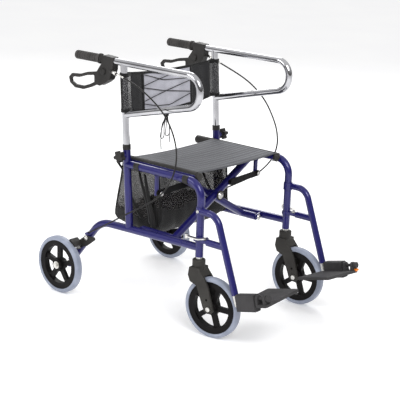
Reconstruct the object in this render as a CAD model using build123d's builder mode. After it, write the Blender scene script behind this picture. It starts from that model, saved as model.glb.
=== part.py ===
from build123d import *
import os
from math import cos, radians, sin, tan

# Folding rollator with a seat sling, a backrest and swing-away footrests.
# Millimetres. The user faces -Y, their left hand is on +X, the floor is Z = 0.

SIDES = (("right", -1), ("left", 1))

# ---- Driving dimensions ------------------------------------------------------

TUBE = 25.4                    # painted steel frame tube
TUBE_BORE = 22.3
CHROME = 22.2                  # chromed handle tube, slides in the frame tube
CHROME_BORE = 19.2
HANGER_TUBE = 22.2
HANGER_BORE = 19.1
COPE = 0.2                     # how much larger a coped notch is than its tube

FRAME_X = 226                  # centre plane to side-frame plane
POST_Y = -194.5                # front post
RAIL_Z = 498                   # upper rail
RAIL_BEND = 54
POST_BOTTOM = 257
LOWER_FRONT_Z = 287            # lower rail where it meets the front post
LEG_CORNER = (246.5, 275)      # lower rail turns down into the rear leg here
LEG_BEND = 100
LEG_TAIL = 18                  # leg past the rear axle
UPRIGHT_Y = 110.5              # rear upright at Z 250
UPRIGHT_TOP = 546
LEAN = 0.0741                  # rearward lean of the upright, mm per mm of height

WHEEL_R = 100
TYRE_WIDTH = 28
RIM_R = 86
RIM_INNER = 66
SPOKES = 5
REAR_WHEEL_X = 278
REAR_AXLE_Y = 390.5
CASTER_LEAD = 59
CASTER_YAW = {"right": radians(6.9), "left": radians(4.0)}

HANDLE_Z = 828.5
LOOP_FRONT_Y = -173.5
LOOP_LOW_Z = 735.2
LOOP_END_Z = 660.5
GRIP_START = 255.5
GRIP_END = 368.5
POST_LOWER_Z = 405             # bottom end of the telescoping post
KNOB_Z = 527

PIVOT_X = 200                  # folding frame: hinges and seat tubes
PIVOT_Z = 280
SEAT_Z = 506
CROSS_A_Y = -62.5
CROSS_B_Y = -20.5
PIVOT_TUBE_Y = (-84.5, 75.5)
SEAT_TUBE_Y = (-160, 196)
MID_Z = (PIVOT_Z + SEAT_Z) / 2
DROP_X = 204
DROP_BOLT_Z = {"right": 420, "left": 434}
DROP_TUBE = 15
LINK_FAR = (60, 427)           # where the guide link meets the cross tube
LINK_THICK = 4
LINK_GAP = {"right": 11, "left": 0.8}

FOOT_X = 232                   # hanger tube plane
HANGER_CORNER = (-266.5, 408)
HANGER_END = (-352.5, 169)
HANGER_BEND = 47
HANGER_LOW_Z = 313
RING_BORE = TUBE + 0.6
HINGE_X = 234
HINGE_START = (-360.5, 163)    # rear end of the footplate hinge axis, in Y and Z
TOE_UP = radians(14)
PLATE_ROLL = 4                 # degrees by which a plate's inner edge stands higher
EXTENSION = 19
EXTENSION_DROP = 30            # extension tube below the hinge axis
BLOCK = (6, 78)                # hinge block's ends along the hinge axis

CABLE = 5
LACE = 3

os.makedirs("parts", exist_ok=True)


# ---- Helpers -----------------------------------------------------------------

def side_plane(x):
    """Plane of constant x whose own axes are Y and Z."""
    return Plane(origin=(x, 0, 0), x_dir=(0, 1, 0), z_dir=(1, 0, 0))


def upright_y(z):
    return UPRIGHT_Y + (z - 250) * LEAN


def rod(start, end, diameter, mode=Mode.ADD):
    """Round bar from start to end in the current part."""
    run = Vector(*end) - Vector(*start)
    with BuildSketch(Plane(origin=start, z_dir=run)) as disc:
        Circle(diameter / 2)
    extrude(disc.sketch, amount=run.length, mode=mode)


def bent_rod(points, bends, diameter, mode=Mode.ADD):
    """Round bar along straight runs joined by tangent arcs in the current part."""
    with BuildLine() as line:
        path = FilletPolyline(*points, radius=bends)
    with BuildSketch(Plane(origin=path @ 0, z_dir=path % 0)) as disc:
        Circle(diameter / 2)
    sweep(disc.sketch, path=line.wire(), mode=mode)


def slab(plane, outline, thickness, corner=0, mode=Mode.ADD):
    """Flat plate with the given outline, centred on the plane."""
    with BuildSketch(plane) as shape:
        Polygon(*outline, align=None)
        if corner:
            fillet(shape.vertices(), radius=corner)
    extrude(shape.sketch, amount=thickness / 2, both=True, mode=mode)


def save(builder, name):
    builder.part.label = name
    export_step(builder.part, f"parts/{name}.step")


# ---- Side frame --------------------------------------------------------------

def link_y(name):
    """Mid-plane of the guide link, in front of tube A or behind tube B."""
    reach = TUBE / 2 + LINK_GAP[name] + LINK_THICK / 2
    return CROSS_A_Y - reach if name == "left" else CROSS_B_Y + reach


def drop_tube_y(name):
    """The drop tube stands just behind its guide link."""
    return link_y(name) + LINK_THICK / 2 + 0.8 + DROP_TUBE / 2


def front_tube(name, side):
    """Upper rail bent down into the front post, with the link's drop tube."""
    x = side * FRAME_X
    rail = [(x, upright_y(RAIL_Z), RAIL_Z), (x, POST_Y, RAIL_Z), (x, POST_Y, POST_BOTTOM)]
    y = drop_tube_y(name)
    bolt_z = DROP_BOLT_Z[name]
    drop = [(side * DROP_X, y, bolt_z - 9), (side * DROP_X, y, 478), (x, y, RAIL_Z)]
    with BuildPart() as tube:
        bent_rod(rail, [RAIL_BEND], TUBE)
        bent_rod(drop, [14], DROP_TUBE)
        bent_rod(rail, [RAIL_BEND], TUBE_BORE, mode=Mode.SUBTRACT)
        rod((side * DROP_X, y - 20, bolt_z), (side * DROP_X, y + 20, bolt_z), 6.1, mode=Mode.SUBTRACT)
        rod((x, upright_y(400), 400), (x, upright_y(600), 600), TUBE + COPE, mode=Mode.SUBTRACT)
    return tube


def rear_upright(name, side):
    """Leaning upright that holds the telescoping handle post and the knob's boss."""
    x = side * FRAME_X
    foot = (x, upright_y(270), 270)
    top = (x, upright_y(UPRIGHT_TOP), UPRIGHT_TOP)
    knob_y = upright_y(KNOB_Z)
    with BuildPart() as tube:
        rod(foot, top, TUBE)
        rod((x, knob_y, KNOB_Z), (x + side * 20, knob_y, KNOB_Z), 16)
        rod((x, upright_y(315), 315), (x, upright_y(560), 560), TUBE_BORE, mode=Mode.SUBTRACT)
        rod((x, knob_y, KNOB_Z), (x + side * 21, knob_y, KNOB_Z), 8.1, mode=Mode.SUBTRACT)
        rod((x, POST_Y, LOWER_FRONT_Z), (x, *LEG_CORNER), TUBE + COPE, mode=Mode.SUBTRACT)
        split(bisect_by=Plane(origin=(0, 0, 284)), keep=Keep.TOP)
    return tube


def height_collar(name, side):
    """Plastic bush on the upright that the post slides through."""
    x = side * FRAME_X
    base = (x, upright_y(UPRIGHT_TOP), UPRIGHT_TOP)
    top = (x, upright_y(UPRIGHT_TOP + 17), UPRIGHT_TOP + 17)
    with BuildPart() as collar:
        rod(base, top, 27)
        rod(base, (x, upright_y(600), 600), CHROME + 0.14, mode=Mode.SUBTRACT)
    return collar


def leg_point(beyond_axle):
    """Point on the rear leg's centre line, measured from the axle."""
    run = Vector(REAR_AXLE_Y - LEG_CORNER[0], WHEEL_R - LEG_CORNER[1]).normalized()
    return (REAR_AXLE_Y + run.X * beyond_axle, WHEEL_R + run.Y * beyond_axle)


BRAKE_PIVOT = leg_point(-90)


def lower_rail(name, side):
    """Lower rail and rear leg, with the brake's pivot stud and cable stop."""
    x = side * FRAME_X
    path = [(x, POST_Y, LOWER_FRONT_Z), (x, *LEG_CORNER), (x, *leg_point(LEG_TAIL))]
    cable_end = CABLE_ROUTES[name][-1]
    last_run = Vector(*cable_end) - Vector(*CABLE_ROUTES[name][-2])
    stop_end = Vector(*cable_end) + last_run.normalized() * 14
    with BuildPart() as rail:
        bent_rod(path, [LEG_BEND], TUBE)
        bent_rod(path, [LEG_BEND], TUBE_BORE, mode=Mode.SUBTRACT)
        rod((x, *leg_point(LEG_TAIL - 3)), (x, *leg_point(LEG_TAIL)), TUBE)
        rod((x, *BRAKE_PIVOT), (x + side * 23, *BRAKE_PIVOT), 8)
        rod((x, stop_end.Y, stop_end.Z), (x + side * 20, stop_end.Y, stop_end.Z), 8)
        rod(tuple(cable_end), tuple(stop_end), 9)
        rod((x - 20, REAR_AXLE_Y, WHEEL_R), (x + 20, REAR_AXLE_Y, WHEEL_R), 10.1, mode=Mode.SUBTRACT)
        rod((x, POST_Y, 230), (x, POST_Y, 330), TUBE + COPE, mode=Mode.SUBTRACT)
    return rail


def cross_mount(name, side):
    """Two ears on the lower rail and the hinge pin of the folding frame."""
    x = side * PIVOT_X
    rail_slope = (LEG_CORNER[1] - LOWER_FRONT_Z) / (LEG_CORNER[0] - POST_Y)
    front, rear = PIVOT_TUBE_Y
    with BuildPart() as mount:
        for y in (front - 3, rear + 3):
            rail_z = LOWER_FRONT_Z + rail_slope * (y - POST_Y)
            ear = Plane(origin=(0, y, 0), x_dir=(1, 0, 0), z_dir=(0, -1, 0))
            outline = [(x - side * 9, PIVOT_Z - 9), (x - side * 9, PIVOT_Z + 9)]
            outline += [(side * FRAME_X, rail_z + 9), (side * FRAME_X, rail_z - 9)]
            slab(ear, outline, 5)
        rod((x, front - 10, PIVOT_Z), (x, rear + 9, PIVOT_Z), 10)
        rod((x, front - 12, PIVOT_Z), (x, front - 5.5, PIVOT_Z), 16)
        rod((x, rear + 5.5, PIVOT_Z), (x, rear + 11, PIVOT_Z), 16)
        rod((side * FRAME_X, POST_Y, LOWER_FRONT_Z), (side * FRAME_X, *LEG_CORNER), TUBE + COPE,
            mode=Mode.SUBTRACT)
    return mount


# ---- Handles -----------------------------------------------------------------

def armrest_frame(name, side):
    """Chromed post and armrest loop, welded into one piece."""
    x = side * FRAME_X
    loop = [(x, GRIP_END - 4, HANDLE_Z), (x, LOOP_FRONT_Y, HANDLE_Z)]
    loop += [(x, LOOP_FRONT_Y, LOOP_LOW_Z), (x, upright_y(LOOP_END_Z), LOOP_END_Z)]
    bottom = (x, upright_y(POST_LOWER_Z), POST_LOWER_Z)
    top = (x, upright_y(HANDLE_Z), HANDLE_Z)
    with BuildPart() as arm:
        bent_rod(loop, [48, 50], CHROME)
        rod(bottom, top, CHROME)
        bent_rod(loop, [48, 50], CHROME_BORE, mode=Mode.SUBTRACT)
        rod(bottom, top, CHROME_BORE, mode=Mode.SUBTRACT)
        for hole in range(8):
            z = 448 + 25 * hole
            y = upright_y(z)
            rod((x, y, z), (x, y + 12, z), 6, mode=Mode.SUBTRACT)
    return arm


def hand_grip(name, side):
    """Ribbed rubber grip with a flange at its front."""
    x = side * FRAME_X
    with BuildPart() as grip:
        rod((x, GRIP_START, HANDLE_Z), (x, GRIP_END, HANDLE_Z), 29)
        fillet(grip.edges().group_by(Axis.Y)[-1], radius=4)
        rod((x, GRIP_START, HANDLE_Z), (x, GRIP_START + 6, HANDLE_Z), 34)
        for rib in range(8):
            y = GRIP_START + 16 + 11.5 * rib
            with BuildSketch(Plane(origin=(x, y, HANDLE_Z), z_dir=(0, 1, 0))) as groove:
                Circle(16)
                Circle(13.4, mode=Mode.SUBTRACT)
            extrude(groove.sketch, amount=3, mode=Mode.SUBTRACT)
        rod((x, GRIP_START - 1, HANDLE_Z), (x, GRIP_END - 4, HANDLE_Z), CHROME + 0.1, mode=Mode.SUBTRACT)
    return grip


LEVER_PIN = (261.5, 765)


def brake_housing(name, side):
    """Lever housing clamped round the handle tube, with the cable's adjuster."""
    x = side * FRAME_X
    outline = [(189.5, 841), (238, 844), (243.5, 815), (266.5, 783), (273.5, 744), (250, 741)]
    outline += [(222, 755), (205.5, 767), (192, 800)]
    slot = [(244, 735), (290, 735), (290, 792), (244, 792)]
    cable_start = Vector(*CABLE_ROUTES[name][0])
    first_run = (Vector(*CABLE_ROUTES[name][1]) - cable_start).normalized()
    with BuildPart() as housing:
        slab(side_plane(x), outline, 26, corner=4)
        rod(tuple(cable_start - first_run * 34), tuple(cable_start), 9)
        slab(side_plane(x), slot, 8.8, mode=Mode.SUBTRACT)
        rod((x - 13, *LEVER_PIN), (x + 13, *LEVER_PIN), 5)
        rod((x, 150, HANDLE_Z), (x, 300, HANDLE_Z), CHROME + 0.1, mode=Mode.SUBTRACT)
    return housing


def brake_lever(name, side):
    """Closed D-shaped lever that turns on the housing's pin."""
    x = side * FRAME_X
    outer = [(266, 785), (318, 776), (352, 765), (390, 762), (404, 748), (398, 730)]
    outer += [(374, 716), (334, 716), (297, 729), (268, 743)]
    inner = [(284, 771), (320, 765), (354, 754), (384, 752), (393, 745), (389, 735)]
    inner += [(371, 727), (336, 727), (303, 738), (283, 748)]
    with BuildPart() as lever:
        slab(side_plane(x), outer, 8, corner=5)
        slab(side_plane(x), inner, 10, corner=3, mode=Mode.SUBTRACT)
        rod((x - 4, *LEVER_PIN), (x + 4, *LEVER_PIN), 18)
        rod((x - 5, *LEVER_PIN), (x + 5, *LEVER_PIN), 5.1, mode=Mode.SUBTRACT)
    return lever


def star_knob(name, side):
    """Five-lobed clamping knob with its stud."""
    y = upright_y(KNOB_Z)
    face = side * (FRAME_X + 26)
    with BuildPart() as knob:
        with BuildSketch(Plane(origin=(face, y, KNOB_Z), z_dir=(side, 0, 0))) as lobes:
            Circle(13)
            with PolarLocations(14, 5):
                Circle(6)
        extrude(lobes.sketch, amount=17)
        rod((side * (FRAME_X + 20.4), y, KNOB_Z), (face, y, KNOB_Z), 18)
        rod((side * (FRAME_X + CHROME / 2 + 0.4), y, KNOB_Z), (face, y, KNOB_Z), 8)
    return knob


# Each brake cable bows forward from its lever and comes back to the rear wheel.
CABLE_ROUTES = {
    "right": [
        (-242, 166, 790), (-244, 118, 780), (-247, 70, 766), (-249, 22, 744), (-250, -24, 717),
        (-251, -62, 684), (-250, -90, 641), (-249, -106, 592), (-250, -107, 541), (-252, -92, 492),
        (-252, -62, 447), (-250, -18, 410), (-249, 33, 377), (-250, 86, 347), (-251, 139, 315),
        (-250, 190, 284), (-249, 238, 256), (-250, 281, 232),
    ],
    "left": [
        (242, 166, 790), (243, 118, 774), (246, 70, 757), (249, 22, 737), (251, -22, 710),
        (251, -62, 676), (249, -94, 634), (249, -118, 587), (250, -124, 537), (252, -108, 489),
        (251, -74, 445), (249, -30, 408), (250, 22, 377), (251, 77, 347), (250, 132, 317),
        (249, 186, 286), (250, 236, 257), (250, 281, 232),
    ],
}

# The backrest's elastic lace ends in a bow: two loops that start and end in the knot.
KNOT = (-28, 141, 628)           # middle of the knot's flat underside
LACE_LOOPS = [
    [
        (-33, 141, 628), (-33, 141, 618), (-40, 143, 604), (-46, 145.5, 584), (-48, 147, 567),
        (-47.8, 147.7, 558), (-42.2, 148.5, 552), (-33.9, 149, 552), (-28, 149.5, 558),
        (-27.2, 150, 567), (-28, 150.5, 584), (-26.5, 149.5, 603), (-25.5, 145.3, 618), (-25.5, 145.3, 628),
    ],
    [
        (-23, 141, 628), (-23, 141, 618), (-16, 141, 604), (-11, 141, 588), (-9.5, 141.5, 574),
        (-10.1, 142, 565), (-15.9, 142.4, 559), (-24.2, 142.5, 559), (-30, 142.3, 565),
        (-30.2, 141.5, 574), (-29, 140.3, 590), (-29.6, 138.5, 606), (-30.5, 136.7, 618), (-30.5, 136.7, 628),
    ],
]
LACE_TAILS = [
    [
        (-30.5, 145.3, 628), (-30.5, 145.3, 619), (-33, 153, 604), (-35, 155.5, 586), (-35.5, 156, 562),
        (-37, 155.5, 537), (-36, 154, 513),
    ],
    [
        (-25.5, 136.7, 628), (-25.5, 136.7, 618), (-20, 134.5, 600), (-17, 135, 578), (-16, 136, 557),
        (-14, 137, 537),
    ],
]


def cord_bends(points):
    """Largest arcs that the runs on either side of each corner leave room for."""
    bends = []
    for before, corner, after in zip(points, points[1:], points[2:]):
        run_in = Vector(*corner) - Vector(*before)
        run_out = Vector(*after) - Vector(*corner)
        half_turn = radians(run_in.get_angle(run_out)) / 2
        bends.append(0.45 * min(run_in.length, run_out.length) / tan(half_turn))
    return bends


def brake_cable(name, side):
    """Outer sheath of the brake cable."""
    route = CABLE_ROUTES[name]
    bends = cord_bends(route)
    with BuildPart() as cable:
        bent_rod(route, bends, CABLE)
    print(name, "cable bends", [round(bend) for bend in bends])
    return cable


def brake_arm(name, side):
    """Rear brake: an arm on the leg's stud that carries the shoe over the tyre."""
    inner_x = FRAME_X + TUBE / 2 + 1
    y, z = BRAKE_PIVOT
    outline = [(y - 76, z + 40), (y - 74, z + 48), (y - 31, z + 46), (y + 33, z - 2)]
    outline += [(y + 8, z - 8), (y - 39, z + 11)]
    wheel = Vector(REAR_AXLE_Y, WHEEL_R)
    shoe = []
    for radius, angles in ((WHEEL_R + 2.6, (24, 33, 42)), (WHEEL_R + 9, (42, 33, 24))):
        for angle in angles:
            turn = radians(angle)
            shoe.append((wheel.X - radius * sin(turn), wheel.Y + radius * cos(turn)))
    with BuildPart() as arm:
        slab(side_plane(side * (inner_x + 2)), outline, 4, corner=3)
        rod((side * inner_x, y, z), (side * (inner_x + 8), y, z), 17)
        with BuildSketch(side_plane(side * inner_x)) as block:
            Polygon(*shoe, align=None)
        extrude(block.sketch, amount=side * (REAR_WHEEL_X - 2 - inner_x))
        rod((side * FRAME_X, y, z), (side * (inner_x + 20), y, z), 8.1, mode=Mode.SUBTRACT)
    return arm


# ---- Wheels and casters ------------------------------------------------------

def wheel_tyre(centre, axis):
    """Solid tyre with rounded shoulders."""
    section = Plane(origin=centre, x_dir=axis, z_dir=Vector(*axis).cross(Vector(0, 0, 1)))
    depth = WHEEL_R - RIM_R
    with BuildPart() as tyre:
        with BuildSketch(section) as shape:
            with Locations((0, RIM_R + depth / 2)):
                Rectangle(TYRE_WIDTH, depth)
            fillet(shape.vertices().group_by(Axis.Y)[-1], radius=9)
            fillet(shape.vertices().group_by(Axis.Y)[0], radius=3)
        revolve(shape.sketch, axis=Axis(centre, axis))
    return tyre


def wheel_rim(centre, axis, hub_half, bore):
    """Moulded rim with five broad spokes."""
    face = Plane(origin=centre, z_dir=axis)
    with BuildPart() as rim:
        with BuildSketch(face) as disc:
            Circle(RIM_R - 0.1)
        extrude(disc.sketch, amount=6, both=True)
        with BuildSketch(face) as ring:
            Circle(RIM_R - 0.1)
            Circle(RIM_INNER, mode=Mode.SUBTRACT)
        extrude(ring.sketch, amount=11, both=True)
        with BuildSketch(face) as windows:
            Circle(RIM_INNER)
            Circle(25, mode=Mode.SUBTRACT)
            with PolarLocations(RIM_INNER / 2, SPOKES):
                Rectangle(RIM_INNER + 10, 17, mode=Mode.SUBTRACT)
            fillet(windows.vertices(), radius=5)
        extrude(windows.sketch, amount=20, both=True, mode=Mode.SUBTRACT)
        with BuildSketch(face) as hub:
            Circle(20)
        extrude(hub.sketch, amount=hub_half, both=True)
        with BuildSketch(face) as hole:
            Circle(bore / 2)
        extrude(hole.sketch, amount=hub_half + 1, both=True, mode=Mode.SUBTRACT)
    return rim


def rear_axle(name, side):
    """Axle bolt with its spacer, washer, head and nut."""
    ends = ((205, 300, 10), (205, 213, 16), (FRAME_X + TUBE / 2 + 0.3, REAR_WHEEL_X - 17.4, 16),
            (REAR_WHEEL_X + 17.4, REAR_WHEEL_X + 19, 26), (REAR_WHEEL_X + 19, REAR_WHEEL_X + 25, 17))
    with BuildPart() as axle:
        for start, end, diameter in ends:
            rod((side * start, REAR_AXLE_Y, WHEEL_R), (side * end, REAR_AXLE_Y, WHEEL_R), diameter)
    return axle


def caster_lead(name):
    """Level direction from the swivel axis to the wheel."""
    yaw = CASTER_YAW[name]
    return Vector(sin(yaw), -cos(yaw), 0)


def caster_plane(name, side):
    """Fork's side view: its own x runs along the lead and its own y is up."""
    lead = caster_lead(name)
    return Plane(origin=(side * FRAME_X, POST_Y, 0), x_dir=lead, z_dir=lead.cross(Vector(0, 0, 1)))


def front_wheel_centre(name, side):
    lead = caster_lead(name) * CASTER_LEAD
    return (side * FRAME_X + lead.X, POST_Y + lead.Y, WHEEL_R)


def caster_fork(name, side):
    """Moulded swivel fork."""
    view = caster_plane(name, side)
    outline = [(-20, 226), (-24, 198), (-16, 178), (10, 168), (40, 92), (52, 84), (66, 84)]
    outline += [(76, 94), (52, 172), (38, 196), (20, 218), (20, 226)]
    stem = (side * FRAME_X, POST_Y)
    with BuildPart() as fork:
        slab(view, outline, 50, corner=3)
        rod((*stem, 214), (*stem, 250), 42)
        fillet(fork.edges().group_by(Axis.Z)[-1], radius=4)
        with BuildSketch(view) as slot:
            with Locations((CASTER_LEAD, WHEEL_R)):
                Circle(WHEEL_R + 4)
        extrude(slot.sketch, amount=17.5, both=True, mode=Mode.SUBTRACT)
        with BuildSketch(view) as holes:
            with Locations((CASTER_LEAD, WHEEL_R)):
                Circle(4.05)
            with Locations((CASTER_LEAD - 10, WHEEL_R + 28)):
                Circle(4)
        extrude(holes.sketch, amount=30, both=True, mode=Mode.SUBTRACT)
        rod((*stem, 222), (*stem, 260), 12.1, mode=Mode.SUBTRACT)
    return fork


def caster_stem(name, side):
    """Stem bolt, its spacer and the plug that holds it in the front post."""
    stem = (side * FRAME_X, POST_Y)
    with BuildPart() as bolt:
        rod((*stem, 224), (*stem, 300), 12)
        rod((*stem, 250.3), (*stem, 257), 20)
        rod((*stem, 257), (*stem, 285), TUBE_BORE - 0.05)
    return bolt


def front_axle(name, side):
    """Front axle bolt with a head and a nut."""
    centre = Vector(*front_wheel_centre(name, side))
    across = caster_lead(name).cross(Vector(0, 0, 1))
    with BuildPart() as axle:
        rod(tuple(centre - across * 31), tuple(centre + across * 31), 8)
        for end in (-1, 1):
            rod(tuple(centre + across * 25.2 * end), tuple(centre + across * 31 * end), 15)
    return axle


# ---- Footrests ---------------------------------------------------------------

FORWARD = Vector(0, -cos(TOE_UP), sin(TOE_UP))
HINGE_UP = Vector(0, sin(TOE_UP), cos(TOE_UP))


def hinge_point(side, across, forward, up):
    """Point placed from the rear end of the footplate's hinge axis; across is inward."""
    start = Vector(side * HINGE_X, *HINGE_START)
    return tuple(start - Vector(side * across, 0, 0) + FORWARD * forward + HINGE_UP * up)


def hinge_plane(side, forward=0, roll=0):
    """Plane square to the hinge axis whose own axes are inward and up."""
    inward = Vector(-side, 0, 0)
    rolled = inward * cos(radians(roll)) + HINGE_UP * sin(radians(roll))
    return Plane(origin=hinge_point(side, 0, forward, 0), x_dir=rolled, z_dir=inward.cross(HINGE_UP))


def hanger_down():
    """Unit vector down the hanger's slanted tube."""
    return Vector(0, HANGER_END[0] - HANGER_CORNER[0], HANGER_END[1] - HANGER_CORNER[1]).normalized()


def foot_hanger(name, side):
    """Swing-away hanger: bent tube, lower arm and the two rings round the post."""
    x = side * FOOT_X
    post = (side * FRAME_X, POST_Y)
    path = [(x, POST_Y - 8, HANGER_CORNER[1]), (x, *HANGER_CORNER), (x, *HANGER_END)]
    slope = (HANGER_END[0] - HANGER_CORNER[0]) / (HANGER_END[1] - HANGER_CORNER[1])
    low_y = HANGER_CORNER[0] + slope * (HANGER_LOW_Z - HANGER_CORNER[1])
    strap = [(-40, -9), (16, -9), (16, 9), (-40, 9)]
    with BuildPart() as hanger:
        bent_rod(path, [HANGER_BEND], HANGER_TUBE)
        rod((x, low_y, HANGER_LOW_Z), (x, POST_Y - 38, HANGER_LOW_Z), HANGER_TUBE)
        for z, height in ((HANGER_CORNER[1], 24), (HANGER_LOW_Z, 12)):
            rod((*post, z - height / 2), (*post, z + height / 2), 31)
        level = Plane(origin=(side * (FRAME_X + 3), POST_Y, HANGER_LOW_Z), x_dir=(0, 1, 0), z_dir=(0, 0, 1))
        slab(level, strap, 10)
        rod((side * FRAME_X, POST_Y - 30, HANGER_LOW_Z), (side * FRAME_X, POST_Y - 30, HANGER_LOW_Z + 14), 6)
        bent_rod(path, [HANGER_BEND], HANGER_BORE, mode=Mode.SUBTRACT)
        for z in (HANGER_CORNER[1], HANGER_LOW_Z):
            rod((*post, z - 20), (*post, z + 20), RING_BORE, mode=Mode.SUBTRACT)
    return hanger


def foot_latch(name, side):
    """Release lever that lies beside the front post."""
    x = side * FRAME_X
    z = HANGER_LOW_Z + 8
    path = [(x, POST_Y - 30), (x + side * 25, POST_Y - 12), (x + side * 25, POST_Y + 34)]
    level = Plane(origin=(0, 0, z))
    with BuildPart() as latch:
        with BuildSketch(level) as plate:
            with BuildLine():
                spine = Polyline(*path)
                offset(spine, amount=6, side=Side.BOTH)
            make_face()
        extrude(plate.sketch, amount=4)
        rod((*path[2], z - 5), (*path[2], z + 9), 11)
        rod((*path[0], z - 1), (*path[0], z + 6), 6.1, mode=Mode.SUBTRACT)
    return latch


def extension_points(side):
    """Extension tube: down inside the hanger, then forward along the hinge block."""
    top = Vector(side * FOOT_X, *HANGER_END) - hanger_down() * 90
    start = Vector(*hinge_point(side, 0, 0, -EXTENSION_DROP))
    down = hanger_down()
    gap = Vector(0, HANGER_END[0] - start.Y, HANGER_END[1] - start.Z)
    # Solve start + FORWARD * t = hanger end + down * u for t.
    t = (gap.Y * down.Z - gap.Z * down.Y) / (FORWARD.Y * down.Z - FORWARD.Z * down.Y)
    corner = Vector(side * FOOT_X, start.Y + FORWARD.Y * t, start.Z + FORWARD.Z * t)
    end = corner + FORWARD * (70 - t)
    return [tuple(top), tuple(corner), tuple(end)]


def foot_extension(name, side):
    """Zinc-plated tube that sets the footplate's height."""
    with BuildPart() as tube:
        bent_rod(extension_points(side), [16], EXTENSION)
    return tube


def foot_hinge_block(name, side):
    """Plastic block on the extension tube that holds the footplate's hinge pin."""
    outline = [(-15, -41), (15, -41), (15, 13), (-15, 13)]
    with BuildPart() as block:
        slab(hinge_plane(side, sum(BLOCK) / 2), outline, BLOCK[1] - BLOCK[0], corner=4)
        rod(hinge_point(side, 0, 60, 0), hinge_point(side, 0, 131.5, 0), 10)
        rod(hinge_point(side, 0, 122, 0), hinge_point(side, 0, 131.5, 0), 20)
        bent_rod(extension_points(side), [16], EXTENSION + 0.1, mode=Mode.SUBTRACT)
    return block


def footplate(name, side):
    """Folding footplate with two hinge ears."""
    top = hinge_plane(side, 0, PLATE_ROLL)
    deck = Plane(origin=top.origin - top.y_dir * 21.5, x_dir=top.x_dir, z_dir=top.y_dir)
    outline = [(17, 0), (155, 0), (155, 124), (-14, 124), (-14, 81), (17, 81)]
    if deck.y_dir.dot(FORWARD) < 0:
        outline = [(across, -forward) for across, forward in outline]
    with BuildPart() as plate:
        slab(deck, outline, 9, corner=5)
        for forward in (85.5, 115.5):
            ear = hinge_plane(side, forward, PLATE_ROLL)
            slab(ear, [(-13, -20), (13, -20), (11, 0), (-11, 0)], 9)
            rod(hinge_point(side, 0, forward - 4.5, 0), hinge_point(side, 0, forward + 4.5, 0), 22)
        rod(hinge_point(side, 0, 79, 0), hinge_point(side, 0, 121, 0), 10.1, mode=Mode.SUBTRACT)
    return plate


# ---- Folding frame -----------------------------------------------------------

def cross_frame_a():
    """Front cross tube with its pivot tube, the centre bolt and the spacer."""
    low = (-PIVOT_X, CROSS_A_Y, PIVOT_Z)
    high = (PIVOT_X, CROSS_A_Y, SEAT_Z)
    centre_front = CROSS_A_Y - TUBE / 2
    centre_rear = CROSS_B_Y + TUBE / 2
    with BuildPart() as frame:
        cross_tube(low, high)
        rod((0, centre_front - 16, MID_Z), (0, centre_rear + 8, MID_Z), 10)
        rod((0, centre_front - 16, MID_Z), (0, centre_front - 10, MID_Z), 15)
        rod((0, centre_front - 10, MID_Z), (0, CROSS_A_Y, MID_Z), 25)
        rod((0, CROSS_A_Y, MID_Z), (0, CROSS_B_Y - TUBE / 2 - 0.4, MID_Z), 25)
        rod((0, centre_rear + 0.4, MID_Z), (0, centre_rear + 8, MID_Z), 17)
    return frame


def cross_frame_b():
    """Rear cross tube with its pivot tube and the bush for the centre bolt."""
    low = (PIVOT_X, CROSS_B_Y, PIVOT_Z)
    high = (-PIVOT_X, CROSS_B_Y, SEAT_Z)
    with BuildPart() as frame:
        cross_tube(low, high)
        rod((0, CROSS_B_Y - TUBE / 2, MID_Z), (0, CROSS_B_Y + TUBE / 2, MID_Z), 18)
        rod((0, CROSS_B_Y - 20, MID_Z), (0, CROSS_B_Y + 20, MID_Z), 10.1, mode=Mode.SUBTRACT)
    return frame


def cross_tube(low, high):
    """Diagonal tube welded to its pivot tube, hollow and bored for the hinge pin."""
    front, rear = PIVOT_TUBE_Y
    diagonal = (Vector(*high) - Vector(*low)).normalized()
    rod(low, high, TUBE)
    rod(tuple(Vector(*low) + diagonal * 14), high, TUBE_BORE, mode=Mode.SUBTRACT)
    rod((low[0], front, low[2]), (low[0], rear, low[2]), TUBE)
    rod((low[0], front + 16, low[2]), (low[0], rear - 16, low[2]), TUBE_BORE, mode=Mode.SUBTRACT)
    rod((low[0], front - 1, low[2]), (low[0], rear + 1, low[2]), 10.1, mode=Mode.SUBTRACT)
    rod((high[0], -150, high[2]), (high[0], 150, high[2]), TUBE + COPE, mode=Mode.SUBTRACT)


def seat_tube(name, side):
    """Seat tube with a plug at each end."""
    x = side * PIVOT_X
    front, rear = SEAT_TUBE_Y
    with BuildPart() as tube:
        rod((x, front, SEAT_Z), (x, rear, SEAT_Z), TUBE)
        rod((x, front + 8, SEAT_Z), (x, rear - 8, SEAT_Z), TUBE_BORE, mode=Mode.SUBTRACT)
        fillet(tube.edges().group_by(Axis.Y)[-1], radius=4)
        fillet(tube.edges().group_by(Axis.Y)[0], radius=2)
    return tube


def guide_link(name, side):
    """Flat link from the drop tube to the cross tube, with its two bolts."""
    middle = link_y(name)
    near = Vector(side * DROP_X, middle, DROP_BOLT_Z[name])
    far = Vector(side * LINK_FAR[0], middle, LINK_FAR[1])
    with BuildPart() as link:
        plane = Plane(origin=(near + far) * 0.5, x_dir=far - near, z_dir=(0, -1, 0))
        with BuildSketch(plane) as bar:
            SlotCenterToCenter((far - near).length, 20)
        extrude(bar.sketch, amount=LINK_THICK / 2, both=True)
        rod(tuple(near), tuple(near + Vector(0, 21, 0)), 6)
        rod(tuple(near), tuple(near - Vector(0, 6.5, 0)), 13)
        outward = Vector(0, -1 if name == "left" else 1, 0)
        rod(tuple(far - outward * (LINK_THICK / 2 + LINK_GAP[name] - 0.3)), tuple(far), 10)
        rod(tuple(far), tuple(far + outward * 6.5), 13)
    return link


# ---- Soft parts --------------------------------------------------------------

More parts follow.
